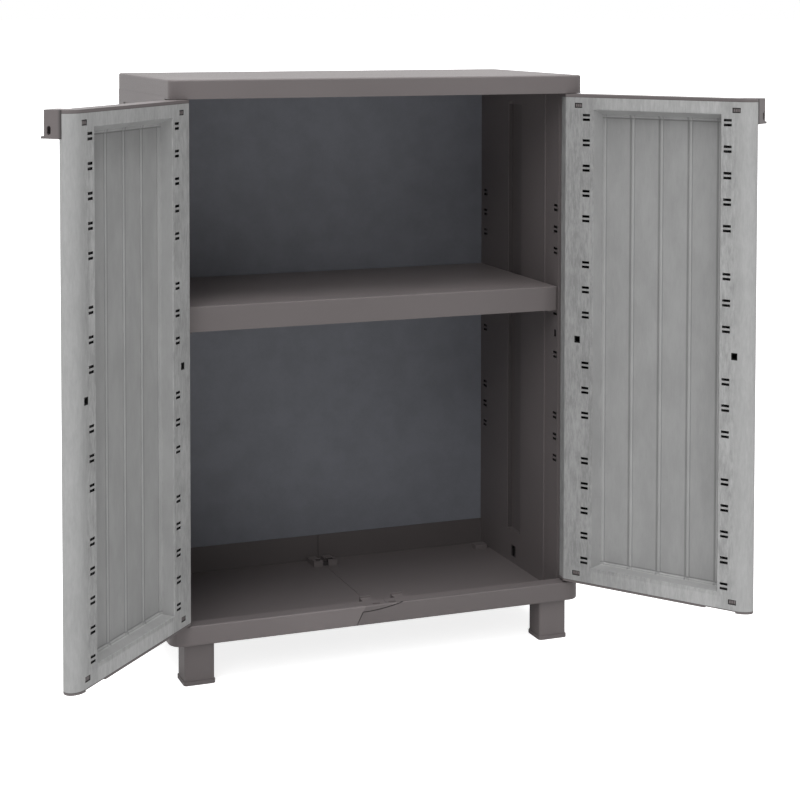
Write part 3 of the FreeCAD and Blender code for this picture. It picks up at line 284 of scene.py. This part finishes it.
def wall_shade(place):
    """Painted shade: black in the slots and the keyhole that open into the wall, dark round the
    keyhole, dim in the long sunk panel and on the inner face.
    """
    x, y, height = place.axes()
    within = abs(x).between(*SIDE_HOLLOW, HOLLOW_BLEND)
    slots = y.between(*FRONT_SLOTS, OPENING_BLEND) + y.between(*REAR_SLOTS, OPENING_BLEND)
    slots = slots * height.between(*SLOT_HEIGHTS, SLOT_RUN_BLEND)
    keyhole = y.between(*KEYHOLE, OPENING_BLEND) * height.between(*KEYHOLE_HEIGHTS, OPENING_BLEND)
    rim = y.between(*KEYHOLE_RIM, RIM_BLEND) * height.between(*KEYHOLE_HEIGHTS, RIM_BLEND)
    rim = rim * abs(x).falling(*SIDE_HOLLOW)
    # Painted shade: the openings' walls inside the hollow go black, and a dark rim widens the
    # keyhole.
    dark = (within * (slots + keyhole)).larger(rim * RIM_PAINTED_SHADE) * OPENING_PAINTED_SHADE
    # Painted shade in the long sunk panel, deepest on its rear wall.
    sunk = y.between(*SUNK_PANEL, SUNK_BLEND) * height.between(*SUNK_HEIGHTS, SUNK_BLEND)
    dim = within * sunk * y.limited(*SUNK_REAR_STEP, *SUNK_PAINTED_SHADE)
    # Painted shade on the wall's inner face.
    return abs(x).limited(*SIDE_HOLLOW, INNER_PAINTED_SHADE, 1.0) * (1 - dark) * (1 - dim)


dress(["side_panel_left", "side_panel_right"],
      moulded_plastic("side taupe plastic", TAUPE, cloud=SIDE_CLOUD, shade=wall_shade))


# Back: a thin dark blue-grey sheet slid into grooves in the base, the sides and the lid.
# Its rolled surface is matt and faintly mottled.

SHEET = (0.187, 0.195, 0.222)
SHEET_ROUGHNESS = (0.55, 0.7)
MOTTLE_SCALE = 22.0
MOTTLE_SPAN = (0.25, 0.75)
MOTTLE_TONES = (0.93, 1.09)
PEBBLE_SCALE = 420.0
PEBBLE_DEPTH = 0.00008


def rolled_sheet(name, colour):
    """Matt sheet with a broad mottle from rolling and a fine pebbled surface."""
    made, shader, place = new_material(name)
    mottle = place.noise(MOTTLE_SCALE, detail=6.0, roughness=0.65).limited(*MOTTLE_SPAN)
    dull, bright = (tinted(colour, tone) for tone in MOTTLE_TONES)
    feed(shader, "Base Color", plain_mix(mottle, dull, bright))
    pebble = place.noise(PEBBLE_SCALE)
    feed(shader, "Roughness", pebble.limited(*NOISE_SPAN, *SHEET_ROUGHNESS))
    textured(shader, pebble, PEBBLE_DEPTH)
    return made


dress(["back_panel"], rolled_sheet("back sheet", SHEET))


# Shelf and supports: a moulded tray turned over, on four blocks hooked into the sides' slots.
# The same taupe plastic as the base, with painted light on top and painted shade below it.

SHELF_TOP = 0.5697
SHELF_TOP_STEP = (SHELF_TOP - 0.0012, SHELF_TOP - 0.0002)
SHELF_PAINTED_LIGHT_AND_SHADE = (0.92, 1.36)


def shelf_shade(place):
    """Painted light on top, painted shade on the faces below it."""
    height = place.axes()[2]
    return height.limited(*SHELF_TOP_STEP, *SHELF_PAINTED_LIGHT_AND_SHADE)


dress(["shelf", "shelf_supports"],
      moulded_plastic("shelf taupe plastic", TAUPE, shade=shelf_shade))


# Doors: hollow panels of pale grey plastic, their frame pressed and printed with a fine wood grain.
# The sunk plank field is smoother and a shade darker, with painted shade in the creases beside its
# ridges and painted highlights on their crests.
# Slots and windows open into the hollows of the stiles, whose walls are painted black as shade.

DOOR_GREY = (0.375, 0.376, 0.375)
HINGE_X = 0.3248
HINGE_Y = -0.1629
HINGE_CORNER = 0.0013
INNER_FACE = 0.0205
DOOR_THICK = 0.030
OPEN_ANGLES = {"right": math.radians(125.1), "left": math.radians(132.9)}
PANEL_BOTTOM = 0.0999
PANEL_TOP = 0.8793
PANEL_MIDDLE = (PANEL_BOTTOM + PANEL_TOP) / 2


def door_place(place, side):
    """Where a point lies on a door: across from its hinge edge, in from its inner face, and up.

    The left door is read in a mirror. The step from the hinge's axis to the point is turned back by
    the angle at which the door stands open: along is x cos + y sin, and through is y cos - x sin.
    """
    x, y, height = place.axes()
    sideways = x * (1.0 if side == "right" else -1.0) - HINGE_X
    forwards = y - HINGE_Y
    cosine, sine = math.cos(OPEN_ANGLES[side]), math.sin(OPEN_ANGLES[side])
    along = sideways * cosine + forwards * sine
    through = forwards * cosine - sideways * sine
    return -along - HINGE_CORNER, INNER_FACE - through, height


NEAR_HOLLOW = (0.006, 0.0465)
FAR_HOLLOW = (0.272, 0.3005)
DOOR_SKIN = 0.0006
HOLE_ACROSS = (0.0229, 0.2936)
HOLE_HEIGHT = 0.4913
HOLE_HALF = (0.0053, 0.0058)
HOLE_BLEND = 0.0006
HOLE_DEPTHS = (0.004, 0.006)


def hollow_mask(across, depth):
    """1 in the stiles' hollows and on the walls of the openings into them, 0 on the skins."""
    near = across.between(*NEAR_HOLLOW, HOLLOW_BLEND)
    far = across.between(*FAR_HOLLOW, HOLLOW_BLEND)
    return (near + far) * depth.between(DOOR_SKIN, DOOR_THICK - DOOR_SKIN, HOLLOW_BLEND)


def hole_mask(across, depth, height):
    """1 on the rims of the two square holes half-way up, where painted shade makes them look wider.
    """
    wide, tall = HOLE_HALF
    near, far = (across.between(middle - wide, middle + wide, HOLE_BLEND) for middle in HOLE_ACROSS)
    holes = height.between(HOLE_HEIGHT - tall, HOLE_HEIGHT + tall, HOLE_BLEND) * (near + far)
    return holes * depth.falling(*HOLE_DEPTHS)


FIELD_NEAR = 0.061
FIELD_FAR = 0.2596
FIELD_BOTTOM = 0.1295
FIELD_TOP = 0.8510
FIELD_MARGIN = 0.004
FIELD_BLEND = 0.002
FIELD_RISE = (0.014, 0.016)
FIELD_BACK = (0.024, 0.026)
SLOPE_RUN = 0.011
SLOPE_BLEND = 0.0004
SLOPE_DEPTHS = (0.0012, 0.0150)
SLOPE_DEPTH_BLEND = 0.0008


def recess(across, height, margin, blend):
    """1 inside the field's outline grown by a margin, 0 outside."""
    wide = across.between(FIELD_NEAR - margin, FIELD_FAR + margin, blend)
    return wide * height.between(FIELD_BOTTOM - margin, FIELD_TOP + margin, blend)


def field_mask(across, depth, height):
    """1 on the sunk plank field, 0 on the frame and on the outer face."""
    inside = recess(across, height, FIELD_MARGIN, FIELD_BLEND)
    return inside * depth.limited(*FIELD_RISE) * depth.falling(*FIELD_BACK)


def slope_mask(across, depth, height):
    """1 on the slopes from the frame down to the plank field."""
    inside = recess(across, height, SLOPE_RUN, SLOPE_BLEND)
    return inside * depth.between(*SLOPE_DEPTHS, SLOPE_DEPTH_BLEND)


PLANKS = 4
PLANK_STEP = (FIELD_FAR - FIELD_NEAR) / PLANKS
RIDGE_HALF = 0.0031
CREST = (RIDGE_HALF * 0.6, RIDGE_HALF)
CREST_LIFT = 0.09
END_CREST_LIFT = 1.8
CREASE_HALF = 0.0013
BROAD_CREASE = (0.0004, CREASE_HALF * 2.2)
BROAD_SHIFT = 0.0010
BROAD_CREASE_SHADE = 0.30
THIN_CREASE_SHADE = 0.22
END_CREASE = (0.0, CREASE_HALF * 1.5)
END_SHIFT = 0.0006
END_CREASE_SHADE = 0.30


def ridge_tone(across, height):
    """Painted highlights on the ridges' crests, and painted shade in a broad crease on their hinge
    side and a thin one beyond.

    Ridges stand at whole planks from the field's near edge. The step to the nearest one is the
    fraction of the planks passed plus a half, less that half, times a plank's width.
    The half ridges along the top and the bottom get a stronger painted highlight, and a painted
    crease shade of their own.
    """
    passed = (across - FIELD_NEAR) / PLANK_STEP + 0.5
    beside = (passed.fraction() - 0.5) * PLANK_STEP
    level = abs(height - FIELD_BOTTOM).smaller(abs(height - FIELD_TOP))
    # Painted highlight on the crests.
    crest = abs(beside).falling(*CREST).larger(level.limited(*CREST, END_CREST_LIFT, 0.0))
    broad = abs(beside + RIDGE_HALF + BROAD_SHIFT).falling(*BROAD_CREASE)
    thin = abs(beside - RIDGE_HALF).falling(0.0, CREASE_HALF)
    ends = abs(level - RIDGE_HALF - END_SHIFT).falling(*END_CREASE)
    # Painted shade in the creases.
    crease_shade = (broad * BROAD_CREASE_SHADE).larger(thin * THIN_CREASE_SHADE).larger(ends * END_CREASE_SHADE)
    return crest * CREST_LIFT - crease_shade


SIDE_PAINTED_SHADE = {"right": (0.05, 0.08), "left": (0.0, 0.17)}
NEAR_DIM_RUN = 0.05
FAR_DIM_RUN = 0.06
TOP_DIM = 0.08
TOP_DIM_BROAD = (0.775, FIELD_TOP)
TOP_DIM_NARROW = (FIELD_TOP - 0.018, FIELD_TOP - 0.003)


def field_dim(side, across, height):
    """How much painted shade darkens the field towards its two sides and its top."""
    near, far = SIDE_PAINTED_SHADE[side]
    sides = across.limited(FIELD_NEAR, FIELD_NEAR + NEAR_DIM_RUN, near, 0.0)
    sides = sides + across.limited(FIELD_FAR - FAR_DIM_RUN, FIELD_FAR, 0.0, far)
    broad = height.limited(*TOP_DIM_BROAD, 0.0, TOP_DIM)
    return sides + broad + height.limited(*TOP_DIM_NARROW, 0.0, TOP_DIM)


FIGURE_SCALE = 190.0
FIBRE_SCALE = 700.0
BLOTCH_SCALE = 30.0
FRAME_SHARES = (0.55, 0.2, 0.25)
FRAME_SPAN = (0.36, 0.65)
FRAME_TONES = (0.74, 1.18)
FIELD_SHARES = (0.3, 0.2, 0.5)
FIELD_SPAN = (0.35, 0.68)
FIELD_TONES = (0.835, 0.98)
CALM_TONE = 1.04
ROUND_START = 0.288
ROUND_RUN = 0.012
ROUND_CALM = 0.6
RAIL_CALM = 0.35
RAIL_CALM_FROM = (0.362, 0.375)
FRAME_PAINTED_LIGHT = {"right": (0.90, 1.09), "left": (1.01, 1.03)}
DRIFT_RUN = 0.31
RAIL_PAINTED_LIGHT = {"right": (0.10, 0.14), "left": (0.20, -0.02)}
RAIL_NEAR = 0.009
RAIL_FAR = 0.012
RAIL_END_BLEND = 0.01


def wood_noises(place):
    """The noises that the printed wood is mixed from: its figure, its fibres and its blotches."""
    figure = place.noise(FIGURE_SCALE, detail=6.0, roughness=0.75, draw=4)
    fibres = place.noise(FIBRE_SCALE, detail=3.0, draw=9)
    blotches = place.noise(BLOTCH_SCALE, draw=2.5)
    return figure, fibres, blotches


def mixed(noises, shares):
    """The figure, the fibres and the blotches, each times its share, added up."""
    figure, fibres, blotches = (noise * share for noise, share in zip(noises, shares))
    return figure + fibres + blotches


def frame_tone(side, across, height, noises):
    """Wood grain on the frame, calmer on the round free end and on the end rails, and lighter on
    the round end as a painted highlight.

    Painted light and shade drift from the hinge to the free end, and each end rail has painted
    light of its own.
    """
    wood = mixed(noises, FRAME_SHARES).limited(*FRAME_SPAN, *FRAME_TONES)
    # Calmed towards a lighter tone; on the round free end that lighter tone is a painted highlight.
    calm = across.limited(ROUND_START, ROUND_START + ROUND_RUN, 0.0, ROUND_CALM)
    calm = calm.larger(abs(height - PANEL_MIDDLE).limited(*RAIL_CALM_FROM, 0.0, RAIL_CALM))
    wood = wood * (1 - calm) + calm * CALM_TONE
    # Painted light and shade, drifting from the hinge to the free end.
    wood = wood * across.limited(0.0, DRIFT_RUN, *FRAME_PAINTED_LIGHT[side])
    # Painted light on the end rails.
    low, high = RAIL_PAINTED_LIGHT[side]
    rails = height.limited(FIELD_BOTTOM - RAIL_FAR, FIELD_BOTTOM - RAIL_NEAR, low, 0.0)
    rails = rails + height.limited(FIELD_TOP + RAIL_NEAR, FIELD_TOP + RAIL_FAR, 0.0, high)
    rails = rails * across.between(FIELD_NEAR - SLOPE_RUN, FIELD_FAR + SLOPE_RUN, RAIL_END_BLEND)
    return wood * (rails + 1)


SLOPE_PAINTED_SHADE = 0.05
HOLLOW_PAINTED_SHADE = (0.004, 0.004, 0.004, 1)
HOLLOW_DULL = 0.4
GRAIN_ROUGHNESS = (0.5, 0.62)
FIBRE_RELIEF = 0.4
FIGURE_RELIEF = 0.6
SUNK_SMOOTHING = 0.85
GRAIN_DEPTH = 0.0003
GREY_SPECULAR = 0.35


def grey_grain(name, colour, side):
    """Grained frame round a smoother plank field, with painted light and shade, and black painted
    shade in the hollows and their openings.
    """
    made, shader, place = new_material(name)
    across, depth, height = door_place(place, side)
    noises = wood_noises(place)
    figure, fibres = noises[:2]
    field = field_mask(across, depth, height)
    slope = slope_mask(across, depth, height)
    sunk = field.larger(slope)

    smooth = mixed(noises, FIELD_SHARES).limited(*FIELD_SPAN, *FIELD_TONES)
    shade = frame_tone(side, across, height, noises) * (1 - sunk) + smooth * sunk
    # Painted highlights and shade on the ridges, less the painted shade at the field's edges.
    ridges = ridge_tone(across, height) - field_dim(side, across, height)
    # Painted shade on the slopes down to the field.
    shade = shade * (1 + field * ridges) * (1 - slope * SLOPE_PAINTED_SHADE)

    # Painted shade: black on the hollows' walls and round the mid holes' rims.
    dark = hollow_mask(across, depth).larger(hole_mask(across, depth, height))
    feed(shader, "Base Color", plain_mix(dark, shaded(colour, shade), HOLLOW_PAINTED_SHADE))
    dull = fibres.limited(*NOISE_SPAN, *GRAIN_ROUGHNESS) + dark * HOLLOW_DULL
    feed(shader, "Roughness", dull)
    relief = (fibres * FIBRE_RELIEF + figure * FIGURE_RELIEF) * (1 - sunk * SUNK_SMOOTHING)
    textured(shader, relief, GRAIN_DEPTH, strength=0.5)
    shader.inputs["Specular IOR Level"].default_value = GREY_SPECULAR
    return made


for side in ("left", "right"):
    dress([side + "_door_panel"], grey_grain(side + " door grey grain", DOOR_GREY, side))


# Door caps and handles: taupe end caps that carry the hinge pins, plugged into the panels' ends,
# and a hood at the top of each free end. The hoods' end plates meet when the doors are shut, and a
# padlock passes through both.

HOOK_STARTS = (0.0172, 0.2879)
HOOK_PARTING = (0.1, 0.2)
HOOK_CELL = 0.0038
CELL_LINE = (0.26, 0.42)
HOOK_LEVEL = 0.0128
HOOK_HALF = 0.0030
HOOK_EDGE = (HOOK_HALF - 0.0014, HOOK_HALF - 0.0004)
HOOK_LINE_SHADE = 0.75
HOOK_PAINTED_LIGHT = 0.1
HOOK_FACE = (0.0012, 0.0026)
PLUG_BLEND = 0.0004
PLUG_PAINTED_SHADE = 0.98


def hook_lines(across, height):
    """1 on the lines that part a latch hook's face into three cells, and round its edge."""
    start = across.limited(*HOOK_PARTING, *HOOK_STARTS)
    cell = abs(((across - start) / HOOK_CELL).fraction() - 0.5)
    level = abs(height - PANEL_MIDDLE) - (PANEL_MIDDLE - PANEL_BOTTOM - HOOK_LEVEL)
    return cell.limited(*CELL_LINE).larger(abs(level).limited(*HOOK_EDGE))


def plug_shade(across, depth, height):
    """Painted shade: black on the plugs inside the stiles' hollows, but for the latch hooks' faces,
    painted lighter, with painted shade on their lines.
    """
    lines = hook_lines(across, height) * HOOK_LINE_SHADE - HOOK_PAINTED_LIGHT
    deep = depth.limited(*HOOK_FACE)
    beyond = abs(height - PANEL_MIDDLE) - (PANEL_TOP - PANEL_MIDDLE)
    inside = hollow_mask(across, depth) * beyond.falling(-PLUG_BLEND, 0.0)
    return 1 - inside * (deep + (1 - deep) * lines) * PLUG_PAINTED_SHADE


CONTACT = 0.0012
CAP_CONTACT_FROM = -0.0002
CAP_CONTACT_BLEND = 0.0005
CAP_CONTACT_SHADE = 0.4


def cap_shade(side):
    """The painted shade of a door's end caps: black on their plugs and dark where they meet the
    panel.
    """
    def shade(place):
        across, depth, height = door_place(place, side)
        beyond = abs(height - PANEL_MIDDLE) - (PANEL_TOP - PANEL_MIDDLE)
        contact = beyond.between(CAP_CONTACT_FROM, CONTACT, CAP_CONTACT_BLEND)
        return plug_shade(across, depth, height) * (1 - contact * CAP_CONTACT_SHADE)
    return shade


HANDLE_BOTTOM = 0.8453
HANDLE_BOTTOM_SHADE = 0.6
HANDLE_NEAR = 0.0185
HANDLE_NEAR_RUN = 0.007
HANDLE_NEAR_SHADE = 0.25
HANDLE_FAR = 0.0504
HANDLE_FAR_RUN = 0.0032
HANDLE_FAR_SHADE = 0.45


def handle_shade(side):
    """The painted shade of a door's handle: dark where it meets the panel, on its outer edge and
    below.
    """
    def shade(place):
        across, depth, height = door_place(place, side)
        lit = plug_shade(across, depth, height)
        lit = lit * depth.limited(HANDLE_NEAR, HANDLE_NEAR + HANDLE_NEAR_RUN, HANDLE_NEAR_SHADE, 1.0)
        lit = lit * depth.limited(HANDLE_FAR - HANDLE_FAR_RUN, HANDLE_FAR, 1.0, HANDLE_FAR_SHADE)
        return lit * height.limited(HANDLE_BOTTOM, HANDLE_BOTTOM + CONTACT, HANDLE_BOTTOM_SHADE, 1.0)
    return shade


for side in ("left", "right"):
    caps = [side + "_door_top_cap", side + "_door_bottom_cap"]
    dress(caps, moulded_plastic(side + " door cap taupe plastic", TAUPE, shade=cap_shade(side)))
    dress([side + "_door_handle"],
          moulded_plastic(side + " door handle taupe plastic", TAUPE, shade=handle_shade(side)))


# Lid: an open-bottomed tray moulded in the same taupe plastic, and pressed on last.
# It snaps down over the side panels, and its bosses hold the doors' top pins.

dress(["top_panel"], moulded_plastic("lid taupe plastic", TAUPE))


# The room: a pale floor that reads as white to the camera and keeps the cabinet's soft shadow,
# a white background, and soft light from straight above and from the front left.

FLOOR_SIZE = 400.0
FLOOR_ROUGHNESS = 0.9
FLOOR_GLOW = 0.82
PALE = 0.80
BLACK = (0, 0, 0)
WHITE = (1, 1, 1)


def flat_grid(width, depth, height):
    """A level sheet: x and y run evenly over width and depth about the origin, z is the height."""
    across, along = np.meshgrid(np.linspace(-0.5, 0.5, 2), np.linspace(-0.5, 0.5, 2))
    points = np.stack([across * width, along * depth, np.full_like(across, height)], axis=-1)
    made = bpy.data.meshes.new("floor")
    made.from_pydata(points.reshape(-1, 3).tolist(), [], [(0, 1, 3, 2)])
    return made


def seen_rays(tree, kinds):
    """1 for the named kinds of ray, 0 for the rays that light the piece."""
    rays = tree.nodes.new("ShaderNodeLightPath")
    seen = sum((Value(tree, rays.outputs[f"Is {kind} Ray"]) for kind in kinds), 0.0)
    return seen.limited(0.0, 1.0)


pale, floor_shader, _ = new_material("pale floor")
floor_shader.inputs["Base Color"].default_value = tinted(WHITE, PALE)
floor_shader.inputs["Roughness"].default_value = FLOOR_ROUGHNESS
floor_shader.inputs["Specular IOR Level"].default_value = 0.0
floor_shader.inputs["Emission Strength"].default_value = 1.0
glow = plain_mix(seen_rays(pale.node_tree, ["Camera"]), (*BLACK, 1), tinted(WHITE, FLOOR_GLOW))
feed(floor_shader, "Emission Color", glow)

floor = bpy.data.objects.new("floor", flat_grid(FLOOR_SIZE, FLOOR_SIZE, 0.0))
bpy.context.scene.collection.objects.link(floor)
floor.data.materials.append(pale)

AMBIENT = 0.2
BACKDROP = 1.0

world = bpy.data.worlds.new("studio")
bpy.context.scene.world = world
world.use_nodes = True
sky = world.node_tree
room = sky.nodes["Background"]
room.inputs["Color"].default_value = (*WHITE, 1)
room.inputs["Strength"].default_value = AMBIENT
backdrop = sky.nodes.new("ShaderNodeBackground")
backdrop.inputs["Color"].default_value = (*WHITE, 1)
backdrop.inputs["Strength"].default_value = BACKDROP
seen = seen_rays(sky, ["Camera", "Glossy", "Transmission"])
lit_by, seen_as = (Value(sky, shader.outputs[0]) for shader in (room, backdrop))
both = seen.node("MixShader", {}, i0=seen, i1=lit_by, i2=seen_as)
sky.links.new(both.out, sky.nodes["World Output"].inputs["Surface"])


def soft_sun(name, strength, degrees_wide, towards):
    """A distant lamp of a given width whose light travels along a direction."""
    lamp = bpy.data.lights.new(name, "SUN")
    lamp.energy = strength
    lamp.angle = math.radians(degrees_wide)
    thing = bpy.data.objects.new(name, lamp)
    thing.rotation_euler = Vector(towards).to_track_quat("-Z", "Y").to_euler()
    bpy.context.scene.collection.objects.link(thing)


soft_sun("overhead lamp", strength=2.89, degrees_wide=60, towards=(0, 0, -1))
soft_sun("front lamp", strength=1.0, degrees_wide=40, towards=(0.45, 0.6, -0.65))


# Camera: it stands in front and to the left of the cabinet, a little above its lid.
# The photograph is a crop of a wider frame, so its picture centre lies above the middle.

FRAME_PIXELS = 800
FOCAL_PIXELS = 1879.99
CENTRE_X = 399.24
CENTRE_Y = 98.98
YAW = math.radians(-21.028)
PITCH = math.radians(2.636)
ROLL = math.radians(0.073)
EYE = Vector((-1.0175, -2.8833, 1.0140))
SENSOR = 36.0

flat = math.cos(PITCH)
forward = Vector((-math.sin(YAW) * flat, math.cos(YAW) * flat, -math.sin(PITCH)))
level = Vector((math.cos(YAW), math.sin(YAW), 0))
upward = level.cross(forward)
right = level * math.cos(ROLL) + upward * math.sin(ROLL)
above = upward * math.cos(ROLL) - level * math.sin(ROLL)

lens = bpy.data.cameras.new("camera")
lens.sensor_width = SENSOR
lens.lens = FOCAL_PIXELS / FRAME_PIXELS * SENSOR
lens.shift_x = (FRAME_PIXELS / 2 - CENTRE_X) / FRAME_PIXELS
lens.shift_y = (CENTRE_Y - FRAME_PIXELS / 2) / FRAME_PIXELS
camera = bpy.data.objects.new("camera", lens)
turned = [(right[k], above[k], -forward[k], EYE[k]) for k in range(3)]
camera.matrix_world = Matrix(turned + [(0, 0, 0, 1)])
bpy.context.scene.collection.objects.link(camera)
bpy.context.scene.camera = camera
bpy.context.scene.view_settings.view_transform = "Standard"
